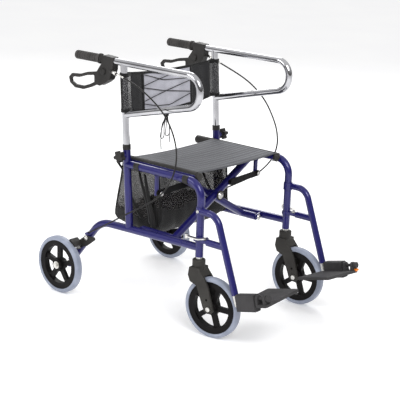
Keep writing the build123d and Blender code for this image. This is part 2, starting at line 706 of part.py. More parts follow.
def seat_sling():
    """Fabric seat stretched over the two seat tubes."""
    bottom = SEAT_Z + TUBE / 2 + 0.5
    with BuildPart() as sling:
        with BuildSketch(Plane.XY.offset(bottom)) as shape:
            with Locations((0, -13)):
                RectangleRounded(416, 282, 8)
        extrude(shape.sketch, amount=4)
    return sling


def backrest_sling():
    """Backrest panel between the two handle posts."""
    foot = Vector(0, upright_y(700), 700)
    up = Vector(0, LEAN, 1).normalized()
    panel = Plane(origin=foot, x_dir=(1, 0, 0), z_dir=Vector(1, 0, 0).cross(up))
    with BuildPart() as sling:
        with BuildSketch(panel) as shape:
            with BuildLine():
                Line((-213, 95), (213, 95))
                Line((213, 95), (213, -28))
                ThreePointArc((213, -28), (0, -58), (-213, -28))
                Line((-213, -28), (-213, 95))
            make_face()
        extrude(shape.sketch, amount=2.5, both=True)
    return sling


def storage_bag():
    """Open-topped bag under the seat, behind the folding frame."""
    profile = [(36.5, 474), (178, 474), (196, 423), (208, 351), (204, 300), (192, 270), (120, 257)]
    profile += [(60, 260), (40, 276)]
    with BuildPart() as bag:
        slab(side_plane(0), profile, 350)
        offset(amount=-3, openings=bag.faces().sort_by(Axis.Z)[-1])
    return bag


def back_lace():
    """The backrest lace's knot, its two loops and its two hanging tails."""
    with BuildPart() as lace:
        for route in LACE_LOOPS + LACE_TAILS:
            bends = cord_bends(route)
            bent_rod(route, bends, LACE)
            print("lace bends", [round(bend) for bend in bends])
        with BuildSketch(Plane(origin=KNOT)) as base:
            Circle(8.5)
        knot = extrude(base.sketch, amount=12)
        fillet(knot.edges().group_by(Axis.Z)[-1], radius=4)
    return lace


# ---- Assembly ----------------------------------------------------------------

SIDE_PARTS = (
    front_tube, rear_upright, height_collar, lower_rail, cross_mount, armrest_frame, hand_grip,
    brake_housing, brake_lever, star_knob, brake_cable, brake_arm, rear_axle, caster_fork,
    caster_stem, front_axle, foot_hanger, foot_latch, foot_extension, foot_hinge_block, footplate,
    seat_tube, guide_link,
)
for name, side in SIDES:
    for make in SIDE_PARTS:
        save(make(name, side), f"{name}_{make.__name__}")
    rear_centre = (side * REAR_WHEEL_X, REAR_AXLE_Y, WHEEL_R)
    across = caster_lead(name).cross(Vector(0, 0, 1))
    front_centre = front_wheel_centre(name, side)
    save(wheel_tyre(rear_centre, (1, 0, 0)), f"{name}_rear_tyre")
    save(wheel_rim(rear_centre, (1, 0, 0), 17, 10.1), f"{name}_rear_rim")
    save(wheel_tyre(front_centre, tuple(across)), f"{name}_front_tyre")
    save(wheel_rim(front_centre, tuple(across), 16.5, 8.1), f"{name}_front_rim")

for make in (cross_frame_a, cross_frame_b, seat_sling, backrest_sling, storage_bag, back_lace):
    save(make(), make.__name__)
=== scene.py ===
from math import cos, pi, radians, sin, sqrt

import bmesh
import bpy
from mathutils import Matrix, Vector, noise


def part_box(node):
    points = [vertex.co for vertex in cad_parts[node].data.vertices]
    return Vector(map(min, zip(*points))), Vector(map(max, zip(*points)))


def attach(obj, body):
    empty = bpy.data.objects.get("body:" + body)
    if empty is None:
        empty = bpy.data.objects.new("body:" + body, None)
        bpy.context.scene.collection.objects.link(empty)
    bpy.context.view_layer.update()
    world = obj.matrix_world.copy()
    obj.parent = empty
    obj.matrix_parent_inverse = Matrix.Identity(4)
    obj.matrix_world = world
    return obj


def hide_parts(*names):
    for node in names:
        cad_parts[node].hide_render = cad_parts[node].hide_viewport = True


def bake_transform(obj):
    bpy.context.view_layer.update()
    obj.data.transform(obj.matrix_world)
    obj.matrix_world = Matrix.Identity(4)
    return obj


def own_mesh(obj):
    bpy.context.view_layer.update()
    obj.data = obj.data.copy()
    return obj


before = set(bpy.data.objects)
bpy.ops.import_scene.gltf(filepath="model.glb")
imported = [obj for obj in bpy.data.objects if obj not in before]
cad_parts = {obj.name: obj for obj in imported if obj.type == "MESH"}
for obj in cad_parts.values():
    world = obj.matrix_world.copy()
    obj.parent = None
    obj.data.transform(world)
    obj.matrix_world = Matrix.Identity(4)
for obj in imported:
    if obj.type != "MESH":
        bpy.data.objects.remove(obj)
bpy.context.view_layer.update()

# A folding rollator: the CAD frame gets its finishes here, and the cloth, cords,
# bushings and bolt heads are built round it. Metres; -Y is the walking direction.

SIDES = (("right", -1), ("left", 1))

# ---- Sizes that repeat the CAD model's ---------------------------------------

FRAME_X = 0.226
POST_Y = -0.1945
TUBE_R = 0.0127
POST_R = 0.0111
RAIL_Z = 0.498
SEAT_X = 0.200
SEAT_Z = 0.506
SEAT_FRONT = -0.154
SEAT_REAR = 0.128
PIVOT_Z = 0.280
CENTRE_Z = 0.393
LEVER_PIN = (0.2335, 0.790)     # y and z of the brake lever's hinge
BACK_BOTTOM = 0.668
BACK_TOP = 0.795


def upright_y(z):
    """Centre line of the leaning upright and handle post."""
    return 0.1105 + (z - 0.250) * 0.0741


# ---- Camera ------------------------------------------------------------------

CAMERA_AZIMUTH = radians(-49.58)
CAMERA_ELEVATION = radians(15.69)
CAMERA_ROLL = radians(2.09)
CAMERA_PLACE = Vector((-3.153, -2.6825, 1.522))


def make_camera():
    data = bpy.data.cameras.new("camera")
    data.lens = 114.75
    data.sensor_width = 36
    data.clip_end = 50
    camera = bpy.data.objects.new("camera", data)
    bpy.context.scene.collection.objects.link(camera)
    azimuth, elevation = CAMERA_AZIMUTH, CAMERA_ELEVATION
    back = Vector((sin(azimuth) * cos(elevation), -cos(azimuth) * cos(elevation), sin(elevation)))
    right = Vector((cos(azimuth), sin(azimuth), 0))
    up = back.cross(right)
    rolled_right = right * cos(CAMERA_ROLL) + up * sin(CAMERA_ROLL)
    rolled_up = up * cos(CAMERA_ROLL) - right * sin(CAMERA_ROLL)
    turn = Matrix((rolled_right, rolled_up, back)).transposed()
    camera.matrix_world = Matrix.Translation(CAMERA_PLACE) @ turn.to_4x4()
    bpy.context.scene.camera = camera


make_camera()


# ---- Materials ---------------------------------------------------------------

def new_material(name, **sockets):
    """Principled material with these values on the shader's own sockets."""
    material = bpy.data.materials.new(name)
    material.use_nodes = True
    shader = material.node_tree.nodes["Principled BSDF"]
    for socket, value in sockets.items():
        title = socket.replace("_", " ")
        found = [s for s in shader.inputs if s.name.lower() == title]
        found[0].default_value = value
    return material


def add_node(material, kind, **inputs):
    node = material.node_tree.nodes.new("ShaderNode" + kind)
    for title, value in inputs.items():
        node.inputs[title].default_value = value
    return node


def link(material, source, target):
    material.node_tree.links.new(source, target)


def shader_of(material):
    return material.node_tree.nodes["Principled BSDF"]


def object_point(material, stretch=(1, 1, 1)):
    """Object coordinates, scaled by stretch."""
    place = add_node(material, "TexCoord")
    mapping = add_node(material, "Mapping")
    mapping.inputs["Scale"].default_value = stretch
    link(material, place.outputs["Object"], mapping.inputs["Vector"])
    return mapping.outputs["Vector"]


def noise_node(material, scale, detail=3.0, stretch=(1, 1, 1)):
    node = add_node(material, "TexNoise", Scale=scale, Detail=detail)
    link(material, object_point(material, stretch), node.inputs["Vector"])
    return node.outputs["Fac"]


def two_colours(material, factor, dark, light, low=0.3, high=0.7):
    ramp = add_node(material, "ValToRGB")
    ramp.color_ramp.elements[0].position = low
    ramp.color_ramp.elements[0].color = (*dark, 1)
    ramp.color_ramp.elements[1].position = high
    ramp.color_ramp.elements[1].color = (*light, 1)
    link(material, factor, ramp.inputs["Fac"])
    link(material, ramp.outputs["Color"], shader_of(material).inputs["Base Color"])
    return ramp


def vary_roughness(material, factor, low, high):
    spread = add_node(material, "MapRange")
    spread.inputs["To Min"].default_value = low
    spread.inputs["To Max"].default_value = high
    link(material, factor, spread.inputs["Value"])
    link(material, spread.outputs["Result"], shader_of(material).inputs["Roughness"])


def add_bump(material, height, strength, distance):
    bump = add_node(material, "Bump", Strength=strength, Distance=distance)
    link(material, height, bump.inputs["Height"])
    link(material, bump.outputs["Normal"], shader_of(material).inputs["Normal"])
    return bump


def combine(material, operation, first, second):
    node = material.node_tree.nodes.new("ShaderNodeMath")
    node.operation = operation
    link(material, first, node.inputs[0])
    link(material, second, node.inputs[1])
    return node.outputs[0]


def bands(material, scale, direction):
    """Fine parallel ribs across the given axis."""
    wave = add_node(material, "TexWave", Scale=scale, Distortion=0.0)
    wave.bands_direction = direction
    link(material, object_point(material), wave.inputs["Vector"])
    return wave.outputs["Fac"]


def paint_material():
    """Gloss violet-blue lacquer with fine flake and orange peel."""
    material = new_material("frame_paint", metallic=0.2, coat_weight=0.45, coat_roughness=0.04,
                            specular_ior_level=0.35)
    flake = noise_node(material, 900, 1)
    two_colours(material, flake, (0.007, 0.006, 0.085), (0.016, 0.013, 0.165), 0.35, 0.75)
    vary_roughness(material, noise_node(material, 40), 0.22, 0.38)
    add_bump(material, noise_node(material, 220, 2), 0.05, 0.0004)
    return material


def chrome_material():
    material = new_material("chrome", metallic=1.0)
    # Streaks of lighter and darker base colour, stretched along the tubes, are painted reflection:
    # they stand in for the bright and dark bands that the chrome mirrors.
    painted_reflection_streaks = noise_node(material, 26, 4, (1, 0.3, 0.3))
    two_colours(material, painted_reflection_streaks, (0.40, 0.40, 0.42), (0.60, 0.60, 0.62))
    vary_roughness(material, noise_node(material, 140, 4, (1, 0.15, 1)), 0.03, 0.11)
    add_bump(material, noise_node(material, 500, 2, (1, 0.1, 1)), 0.02, 0.0002)
    return material


def zinc_material():
    material = new_material("zinc", metallic=1.0)
    spangle = noise_node(material, 160, 4)
    two_colours(material, spangle, (0.52, 0.51, 0.48), (0.82, 0.81, 0.78))
    vary_roughness(material, noise_node(material, 320, 2), 0.22, 0.42)
    add_bump(material, noise_node(material, 700, 2), 0.1, 0.0002)
    return material


def plastic_material(name, dark, light, rough=(0.42, 0.58), grain=900, shine=0.25):
    """Moulded plastic with a fine spark-eroded grain."""
    material = new_material(name, specular_ior_level=shine)
    two_colours(material, noise_node(material, 14, 4), dark, light)
    vary_roughness(material, noise_node(material, 90), *rough)
    add_bump(material, noise_node(material, grain, 2), 0.25, 0.0003)
    return material


def tyre_material():
    """Grey-blue moulded tyre with faint scuffs round its tread."""
    material = new_material("tyre", specular_ior_level=0.4)
    two_colours(material, noise_node(material, 30, 5), (0.235, 0.262, 0.335), (0.325, 0.355, 0.440))
    vary_roughness(material, noise_node(material, 70), 0.38, 0.62)
    add_bump(material, noise_node(material, 450, 3), 0.2, 0.0004)
    return material


def grip_material():
    material = new_material("grip_rubber", specular_ior_level=0.35)
    two_colours(material, noise_node(material, 25, 4), (0.030, 0.028, 0.027), (0.060, 0.056, 0.054))
    vary_roughness(material, noise_node(material, 120), 0.55, 0.8)
    add_bump(material, noise_node(material, 1100, 2), 0.35, 0.0003)
    return material


def woven_material(name, dark, light, along="X", across="Y", scale=90, sheen=0.15):
    """Cloth with a fine two-way weave."""
    material = new_material(name, roughness=0.9, sheen_weight=sheen, specular_ior_level=0.25)
    weave = combine(material, "MULTIPLY", bands(material, scale * 2.2, along),
                    bands(material, scale, across))
    mottled = combine(material, "MULTIPLY", weave, noise_node(material, 26, 5))
    two_colours(material, mottled, dark, light, 0.0, 0.45)
    add_bump(material, weave, 0.6, 0.0006)
    return material


def seat_material():
    """Ribbed seat cloth: fine weave, and pale streaks along the ribs."""
    material = new_material("seat_cloth", roughness=0.72, sheen_weight=0.2, specular_ior_level=0.35)
    weave = combine(material, "MULTIPLY", bands(material, 190, "X"), bands(material, 85, "Y"))
    ribs = combine(material, "MULTIPLY", bands(material, 17, "Y"),
                   noise_node(material, 6, 3, (0.5, 5, 1)))
    mixed = combine(material, "ADD", combine(material, "MULTIPLY", weave, ribs), ribs)
    two_colours(material, mixed, (0.034, 0.036, 0.043), (0.125, 0.131, 0.150), 0.0, 0.95)
    add_bump(material, mixed, 0.5, 0.001)
    return material


def net_material(name, dark, light, alpha):
    """See-through net cloth; alpha is a range, since it is denser in some patches."""
    material = new_material(name, roughness=0.85, sheen_weight=0.1)
    density = add_node(material, "MapRange")
    density.inputs["From Min"].default_value = 0.35
    density.inputs["From Max"].default_value = 0.65
    density.inputs["To Min"].default_value = alpha[0]
    density.inputs["To Max"].default_value = alpha[1]
    link(material, noise_node(material, 9, 3), density.inputs["Value"])
    link(material, density.outputs["Result"], shader_of(material).inputs["Alpha"])
    net = combine(material, "MAXIMUM", bands(material, 160, "DIAGONAL"), bands(material, 150, "Z"))
    mottled = combine(material, "MULTIPLY", net, noise_node(material, 18, 4))
    two_colours(material, mottled, dark, light, 0.05, 0.6)
    add_bump(material, net, 0.5, 0.0006)
    return material


PAINT = paint_material()
CHROME = chrome_material()
ZINC = zinc_material()
PLASTIC = plastic_material("black_plastic", (0.016, 0.015, 0.014), (0.030, 0.028, 0.027))
RIM_PLASTIC = plastic_material("rim_plastic", (0.004, 0.0035, 0.004), (0.009, 0.008, 0.008),
                               (0.4, 0.55), shine=0.12)
FORK_PLASTIC = plastic_material("fork_plastic", (0.026, 0.024, 0.022), (0.042, 0.040, 0.036),
                                (0.5, 0.65))
PLATE_PLASTIC = plastic_material("plate_plastic", (0.030, 0.029, 0.030), (0.048, 0.046, 0.048),
                                 (0.5, 0.68), 500)
TYRE = tyre_material()
GRIP = grip_material()
SEAT_CLOTH = seat_material()
DARK_CLOTH = woven_material("dark_cloth", (0.008, 0.008, 0.009), (0.034, 0.034, 0.037),
                            "X", "Z", 110)
BINDING = woven_material("binding", (0.004, 0.004, 0.004), (0.016, 0.016, 0.017),
                         "DIAGONAL", "Z", 160)
BACK_NET = net_material("back_net", (0.33, 0.33, 0.38), (0.58, 0.58, 0.64), (0.86, 0.94))
SLEEVE_NET = net_material("sleeve_net", (0.010, 0.010, 0.011), (0.045, 0.045, 0.048), (0.28, 0.5))
BAG_NET = net_material("bag_net", (0.008, 0.007, 0.007), (0.050, 0.046, 0.045), (0.42, 0.66))
BAG_CLOTH = woven_material("bag_cloth", (0.005, 0.005, 0.005), (0.030, 0.029, 0.029),
                           "X", "DIAGONAL", 120)
SHEATH = plastic_material("cable_sheath", (0.010, 0.009, 0.009), (0.022, 0.021, 0.020), (0.35, 0.5))
LACE = woven_material("lace_cord", (0.005, 0.005, 0.006), (0.024, 0.024, 0.026),
                      "DIAGONAL", "Z", 420)
ORANGE = plastic_material("reflector", (0.75, 0.16, 0.005), (0.95, 0.27, 0.01), (0.15, 0.3), 300)

NODE_FINISH = {
    "front_tube": PAINT, "rear_upright": PAINT, "lower_rail": PAINT, "cross_mount": PAINT,
    "foot_hanger": PAINT, "seat_tube": PAINT, "cross_frame_a": PAINT, "cross_frame_b": PAINT,
    "armrest_frame": CHROME, "foot_extension": ZINC, "foot_latch": ZINC, "rear_axle": ZINC,
    "front_axle": ZINC, "caster_stem": ZINC, "hand_grip": GRIP, "height_collar": PLASTIC,
    "brake_housing": PLASTIC, "brake_lever": PLASTIC, "star_knob": PLASTIC, "brake_arm": PLASTIC,
    "caster_fork": FORK_PLASTIC, "foot_hinge_block": PLATE_PLASTIC, "footplate": PLATE_PLASTIC,
    "guide_link": RIM_PLASTIC, "rear_tyre": TYRE, "front_tyre": TYRE, "rear_rim": RIM_PLASTIC,
    "front_rim": RIM_PLASTIC,
}


def finish_cad_nodes():
    for name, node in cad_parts.items():
        kind = name.replace("right_", "").replace("left_", "")
        finish = NODE_FINISH.get(kind)
        if finish is None:
            continue
        if not node.material_slots:
            node.data.materials.append(finish)
        for slot in node.material_slots:
            slot.material = finish


finish_cad_nodes()


# ---- Mesh helpers ------------------------------------------------------------

def make_piece(name, points, faces, finish, body=None):
    """Smooth mesh object from points and faces, riding on a body if one is named."""
    mesh = bpy.data.meshes.new(name)
    mesh.from_pydata([tuple(p) for p in points], [], faces)
    for material in finish if isinstance(finish, (list, tuple)) else [finish]:
        mesh.materials.append(material)
    mesh.validate()
    tidy = bmesh.new()
    tidy.from_mesh(mesh)
    bmesh.ops.recalc_face_normals(tidy, faces=tidy.faces)
    tidy.to_mesh(mesh)
    tidy.free()
    for polygon in mesh.polygons:
        polygon.use_smooth = True
    piece = bpy.data.objects.new(name, mesh)
    bpy.context.scene.collection.objects.link(piece)
    if body:
        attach(piece, body)
    return piece


def grid_faces(rows, columns, wrap=False):
    """Quads of a rows x columns grid of points; wrap joins the last column to the first."""
    faces = []
    for i in range(rows - 1):
        for j in range(columns if wrap else columns - 1):
            k = (j + 1) % columns
            here, after = i * columns, (i + 1) * columns
            faces.append((here + j, here + k, after + k, after + j))
    return faces


def ring_faces(rings, count):
    """Faces that join rings of count points into a closed bar with flat ends."""
    faces = grid_faces(rings, count, wrap=True)
    faces.append(tuple(range(count)))
    faces.append(tuple((rings - 1) * count + j for j in range(count)))
    return faces


def apply_modifiers(piece):
    """Bakes the piece's modifiers into its mesh."""
    shown = piece.evaluated_get(bpy.context.evaluated_depsgraph_get())
    mesh = bpy.data.meshes.new_from_object(shown)
    piece.modifiers.clear()
    piece.data = mesh
    return piece


def thicken(piece, thickness, smooth_levels=0):
    if smooth_levels:
        rounder = piece.modifiers.new("rounder", "SUBSURF")
        rounder.levels = smooth_levels
        rounder.render_levels = smooth_levels
    shell = piece.modifiers.new("shell", "SOLIDIFY")
    shell.thickness = thickness
    shell.offset = 0
    return apply_modifiers(piece)


def cloth_sheet(piece, thickness):
    """Thickens a cloth surface."""
    thicken(piece, thickness)


def axis_frame(axis):
    """Two unit vectors square to the axis."""
    axis = Vector(axis).normalized()
    helper = Vector((0, 0, 1)) if abs(axis.z) < 0.9 else Vector((1, 0, 0))
    side = axis.cross(helper).normalized()
    return side, axis.cross(side)


def lathe(name, origin, axis, profile, finish, body, segments=40):
    """Turned piece: profile is (distance along the axis, radius) pairs."""
    origin = Vector(origin)
    axis = Vector(axis).normalized()
    side, other = axis_frame(axis)
    points = []
    for along, radius in profile:
        for j in range(segments):
            turn = 2 * pi * j / segments
            points.append(origin + axis * along + (side * cos(turn) + other * sin(turn)) * radius)
    return make_piece(name, points, ring_faces(len(profile), segments), finish, body)


def rounded_cap(length, radius, edge, bottom=0.0):
    """Profile of a turned cap whose far rim is rounded."""
    arc = [(length - edge + edge * sin(a), radius - edge + edge * cos(a))
           for a in (0, pi / 8, pi / 4, 3 * pi / 8, pi / 2)]
    return [(bottom, radius), *arc]


def tube_piece(name, path, radius, finish, body, steps=8):
    """Round piping along the points."""
    points = []
    for i, here in enumerate(path):
        before = path[max(i - 1, 0)]
        after = path[min(i + 1, len(path) - 1)]
        side, other = axis_frame(after - before)
        for j in range(steps):
            turn = 2 * pi * j / steps
            points.append(here + (side * cos(turn) + other * sin(turn)) * radius)
    return make_piece(name, points, ring_faces(len(path), steps), finish, body)


def bolt_head(name, origin, axis, radius, height, body):
    """Domed zinc bolt head over a thin washer."""
    washer = [(0, radius * 1.35), (height * 0.18, radius * 1.35), (height * 0.2, radius)]
    dome = [(height * (0.45 + 0.55 * sin(a)), radius * cos(a) * 0.98 + 0.0001)
            for a in (0, 0.4, 0.8, 1.15, 1.45)]
    return lathe(name, origin, axis, washer + dome, ZINC, body, 28)


# ---- Cords -------------------------------------------------------------------

def spline_of(points):
    """Smooth NURBS curve whose control points are the route's."""
    data = bpy.data.curves.new("route", "CURVE")
    data.dimensions = "3D"
    data.resolution_u = 8
    spline = data.splines.new("NURBS")
    spline.points.add(len(points) - 1)
    for control, point in zip(spline.points, points):
        control.co = (*point, 1)
    spline.order_u = 3
    spline.use_endpoint_u = True
    return data


def evaluated_mesh(data, name):
    helper = bpy.data.objects.new(name, data)
    bpy.context.scene.collection.objects.link(helper)
    bpy.context.view_layer.update()
    shown = helper.evaluated_get(bpy.context.evaluated_depsgraph_get())
    mesh = bpy.data.meshes.new_from_object(shown)
    bpy.data.objects.remove(helper)
    return mesh


def cord_piece(name, route_mm, diameter, finish):
    """Mesh tube along the route's spline, and the points that it follows."""
    data = spline_of([Vector(p) / 1000 for p in route_mm])
    line = evaluated_mesh(data, name + "_line")
    path = [v.co.copy() for v in line.vertices]
    bpy.data.meshes.remove(line)
    data.bevel_depth = diameter / 2
    data.bevel_resolution = 4
    data.use_fill_caps = True
    mesh = evaluated_mesh(data, name + "_tube")
    mesh.materials.clear()
    mesh.materials.append(finish)
    for polygon in mesh.polygons:
        polygon.use_smooth = True
    piece = bpy.data.objects.new(name, mesh)
    bpy.context.scene.collection.objects.link(piece)
    return piece, path


def run_length(path):
    return sum((b - a).length for a, b in zip(path, path[1:]))


CABLE_DIAMETER = 0.005
LACE_DIAMETER = 0.003

CABLE_ROUTES = {
    "right": [
        (-242, 166, 790), (-244, 118, 780), (-247, 70, 766), (-249, 22, 744), (-250, -24, 717),
        (-251, -62, 684), (-250, -90, 641), (-249, -106, 592), (-250, -107, 541), (-252, -92, 492),
        (-252, -62, 447), (-250, -18, 410), (-249, 33, 377), (-250, 86, 347), (-251, 139, 315),
        (-250, 190, 284), (-249, 238, 256), (-250, 281, 232),
    ],
    "left": [
        (242, 166, 790), (243, 118, 774), (246, 70, 757), (249, 22, 737), (251, -22, 710),
        (251, -62, 676), (249, -94, 634), (249, -118, 587), (250, -124, 537), (252, -108, 489),
        (251, -74, 445), (249, -30, 408), (250, 22, 377), (251, 77, 347), (250, 132, 317),
        (249, 186, 286), (250, 236, 257), (250, 281, 232),
    ],
}

LACE_ROUTES = {
    "lace_loop_right": [
        (-33, 141, 628), (-33, 141, 618), (-40, 143, 604), (-46, 145.5, 584), (-48, 147, 567),
        (-47.8, 147.7, 558), (-42.2, 148.5, 552), (-33.9, 149, 552), (-28, 149.5, 558),
        (-27.2, 150, 567), (-28, 150.5, 584), (-26.5, 149.5, 603), (-25.5, 145.3, 618),
        (-25.5, 145.3, 628),
    ],
    "lace_loop_left": [
        (-23, 141, 628), (-23, 141, 618), (-16, 141, 604), (-11, 141, 588), (-9.5, 141.5, 574),
        (-10.1, 142, 565), (-15.9, 142.4, 559), (-24.2, 142.5, 559), (-30, 142.3, 565),
        (-30.2, 141.5, 574), (-29, 140.3, 590), (-29.6, 138.5, 606), (-30.5, 136.7, 618),
        (-30.5, 136.7, 628),
    ],
    "lace_tail_right": [
        (-30.5, 145.3, 628), (-30.5, 145.3, 619), (-33, 153, 604), (-35, 155.5, 586),
        (-35.5, 156, 562), (-37, 155.5, 537), (-36, 154, 513),
    ],
    "lace_tail_left": [
        (-25.5, 136.7, 628), (-25.5, 136.7, 618), (-20, 134.5, 600), (-17, 135, 578),
        (-16, 136, 557), (-14, 137, 537),
    ],
}


def crumple(piece):
    """Gives a piece of the cloth between the side frames a mesh of its own."""
    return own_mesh(piece)


def brake_cables():
    """Sheathed cables, fixed in place, with an adjuster at the upper end that rides on the handle.
    """
    for name, route in CABLE_ROUTES.items():
        cable, path = cord_piece(f"{name}_cable", route, CABLE_DIAMETER, SHEATH)
        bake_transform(cable)
        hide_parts(f"{name}_brake_cable")
        start, after = Vector(route[0]) / 1000, Vector(route[1]) / 1000
        adjuster = [(-0.024, 0.0046), (-0.020, 0.0054), (-0.008, 0.0054), (-0.006, 0.0038),
                    (0.010, 0.0038), (0.013, 0.0032), (0.030, 0.0028)]
        lathe(f"{name}_cable_adjuster", start, after - start, adjuster, ZINC, f"{name}_handle",
              24)


def lace_cords():
    """The knot under the backrest and the four cords that hang from it."""
    knot_profile = [(0, 0.004), (0.001, 0.0075), (0.004, 0.0085), (0.008, 0.0082), (0.011, 0.006),
                    (0.012, 0.003)]
    knot = lathe("lace_knot", (-0.028, 0.141, 0.628), (0, 0, 1), knot_profile, LACE,
                 "right_handle", 24)
    crumple(knot)
    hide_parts("back_lace")
    for name, route in LACE_ROUTES.items():
        cord, path = cord_piece(name, route, LACE_DIAMETER, LACE)
        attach(cord, "right_handle")
        crumple(cord)


brake_cables()
lace_cords()


# ---- Seat --------------------------------------------------------------------

SEAT_CLOTH_R = TUBE_R + 0.0009
SEAT_WRAP = radians(62)        # how far round each tube the cloth's edge goes, from its top
SEAT_SAG = 0.006


def seat_section():
    """Half of the seat cloth's section as (x, z), from the tube's outer side to the middle."""
    steps = 8
    round_tube = []
    for i in range(steps + 1):
        angle = SEAT_WRAP * (1 - i / steps)
        round_tube.append((SEAT_X + SEAT_CLOTH_R * sin(angle), SEAT_Z + SEAT_CLOTH_R * cos(angle)))
    top = SEAT_Z + SEAT_CLOTH_R
    span = []
    for i in range(1, 17):
        x = SEAT_X * (1 - i / 16)
        span.append((x, top - SEAT_SAG * (1 - (x / SEAT_X) ** 2)))
    return round_tube + span


def seat_cloth():
    half = seat_section()
    section = [(-x, z) for x, z in half] + [(x, z) for x, z in reversed(half[:-1])]
    rows = 58
    points = []
    for i in range(rows + 1):
        y = SEAT_FRONT + (SEAT_REAR - SEAT_FRONT) * i / rows
        edge = min(y - SEAT_FRONT, SEAT_REAR - y)
        for x, z in section:
            middle = 1 - min(1, (x / SEAT_X) ** 2)
            ripple = 0.0011 * noise.noise(Vector((x * 9, y * 38, 0.3))) * middle
            tuck = -0.0022 * max(0.0, 1 - edge / 0.006) ** 2
            hem = 0.0007 * max(0.0, 1 - abs(edge - 0.014) / 0.004)
            points.append((x, y, z + ripple + tuck - hem))
    faces = grid_faces(rows + 1, len(section))
    cloth = make_piece("seat_cloth", points, faces, SEAT_CLOTH)
    thicken(cloth, 0.0016)
    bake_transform(cloth)
    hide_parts("seat_sling")


def seat_stitching():
    """Rows of stitches along the seat's front and rear hems."""
    for end, y in (("front", SEAT_FRONT + 0.014), ("rear", SEAT_REAR - 0.014)):
        points, faces = [], []
        count = 66
        for i in range(count):
            x = -0.186 + 0.372 * i / (count - 1)
            z = SEAT_Z + SEAT_CLOTH_R + 0.0009 - SEAT_SAG * (1 - (x / SEAT_X) ** 2)
            along, across = Vector((0.0019, 0, 0)), Vector((0, 0.0006, 0))
            add_stitch(points, faces, Vector((x, y, z)), along, across)
        stitches = make_piece(f"seat_stitching_{end}", points, faces, BINDING)
        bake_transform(stitches)


def add_stitch(points, faces, centre, along, across):
    """Small raised lozenge of thread."""
    lift = along.cross(across).normalized() * 0.0004
    start = len(points)
    points.extend([centre - along, centre + across, centre + along, centre - across, centre + lift])
    for a, b in ((0, 1), (1, 2), (2, 3), (3, 0)):
        faces.append((start + a, start + b, start + 4))
    faces.append((start + 3, start + 2, start + 1, start))


def seat_edging():
    """Plastic strip that holds the cloth down along each seat tube."""
    inner, outer = TUBE_R + 0.0002, TUBE_R + 0.0026
    for name, side in SIDES:
        body = "cross_b" if name == "right" else "cross_a"
        section = []
        for i in range(9):
            angle = radians(-6 + 62 * i / 8)
            section.append((sin(angle) * outer, cos(angle) * outer))
        for i in range(9):
            angle = radians(56 - 62 * i / 8)
            section.append((sin(angle) * inner, cos(angle) * inner))
        points = []
        for y in (SEAT_FRONT - 0.002, SEAT_FRONT, 0.0, SEAT_REAR, SEAT_REAR + 0.002):
            for x, z in section:
                points.append((side * (SEAT_X + x), y, SEAT_Z + z))
        faces = ring_faces(5, len(section))
        make_piece(f"{name}_seat_edging", points, faces, PLASTIC, body)


def seat_tube_ends():
    """Black caps at the front and long black sleeves at the rear of the seat tubes."""
    for name, side in SIDES:
        body = "cross_b" if name == "right" else "cross_a"
        x = side * SEAT_X
        cap = rounded_cap(0.012, TUBE_R + 0.0012, 0.005)
        lathe(f"{name}_seat_front_cap", (x, SEAT_FRONT, SEAT_Z), (0, -1, 0), cap, PLASTIC, body)
        sleeve = [(0, TUBE_R + 0.0006), (0.001, TUBE_R + 0.0014)]
        sleeve += rounded_cap(0.074, TUBE_R + 0.0016, 0.008, 0.02)
        lathe(f"{name}_seat_rear_sleeve", (x, 0.126, SEAT_Z), (0, 1, 0), sleeve, PLASTIC, body)


def rail_saddles():
    """Clips on the upper rails that the seat tubes drop into."""
    for name, side in SIDES:
        for where, y in (("front", -0.134), ("rear", 0.078)):
            section = []
            for i in range(15):
                angle = radians(-62 + 250 * i / 14)
                section.append((cos(angle) * (TUBE_R + 0.0028), sin(angle) * (TUBE_R + 0.0028)))
            for i in range(15):
                angle = radians(188 - 250 * i / 14)
                section.append((cos(angle) * (TUBE_R + 0.0002), sin(angle) * (TUBE_R + 0.0002)))
            points = []
            for along in (-0.011, -0.0095, 0.0095, 0.011):
                shrink = 0.965 if abs(along) > 0.010 else 1.0
                for x, z in section:
                    points.append((side * (FRAME_X + x * shrink), y + along, RAIL_Z - z * shrink))
            make_piece(f"{name}_saddle_{where}", points, ring_faces(4, len(section)), PLASTIC,
                       f"{name}_frame")


seat_cloth()
seat_stitching()
seat_edging()
seat_tube_ends()
rail_saddles()


# ---- Backrest ----------------------------------------------------------------

PANEL_EDGE = 0.196             # where the flat panel ends and the sleeve's wrap begins
DARK_EDGE = (-0.135, 0.106)    # the light net lies between these
BACK_DIP = 0.022               # how far the lower edge hangs below the sleeves at mid-width
SLEEVE_R = POST_R + 0.0022


def back_point(x, z, out=0.0):
    """Point of the backrest's cloth; out is toward the front."""
    tension = 1 - min(1, (x / PANEL_EDGE) ** 2)
    bow = 0.010 * tension
    return Vector((x, upright_y(z) + bow - out, z))


def back_bottom(x):
    return BACK_BOTTOM - BACK_DIP * (1 - min(1, (x / PANEL_EDGE) ** 2))


def back_top(x):
    return BACK_TOP - 0.010 * (1 - min(1, (x / PANEL_EDGE) ** 2))


def back_patch(name, x_from, x_to, finish, columns, puckers):
    """One panel of the backrest between two heights that follow its edges."""
    rows = 30
    points = []
    for i in range(rows + 1):
        share = i / rows
        for j in range(columns + 1):
            x = x_from + (x_to - x_from) * j / columns
            z = back_bottom(x) + (back_top(x) - back_bottom(x)) * share
            fold = puckers * noise.noise(Vector((x * 30, z * 7, 1.7)))
            points.append(back_point(x, z, fold))
    patch = make_piece(name, points, grid_faces(rows + 1, columns + 1), finish)
    cloth_sheet(patch, 0.0014)
    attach(patch, "right_handle")
    return crumple(patch)


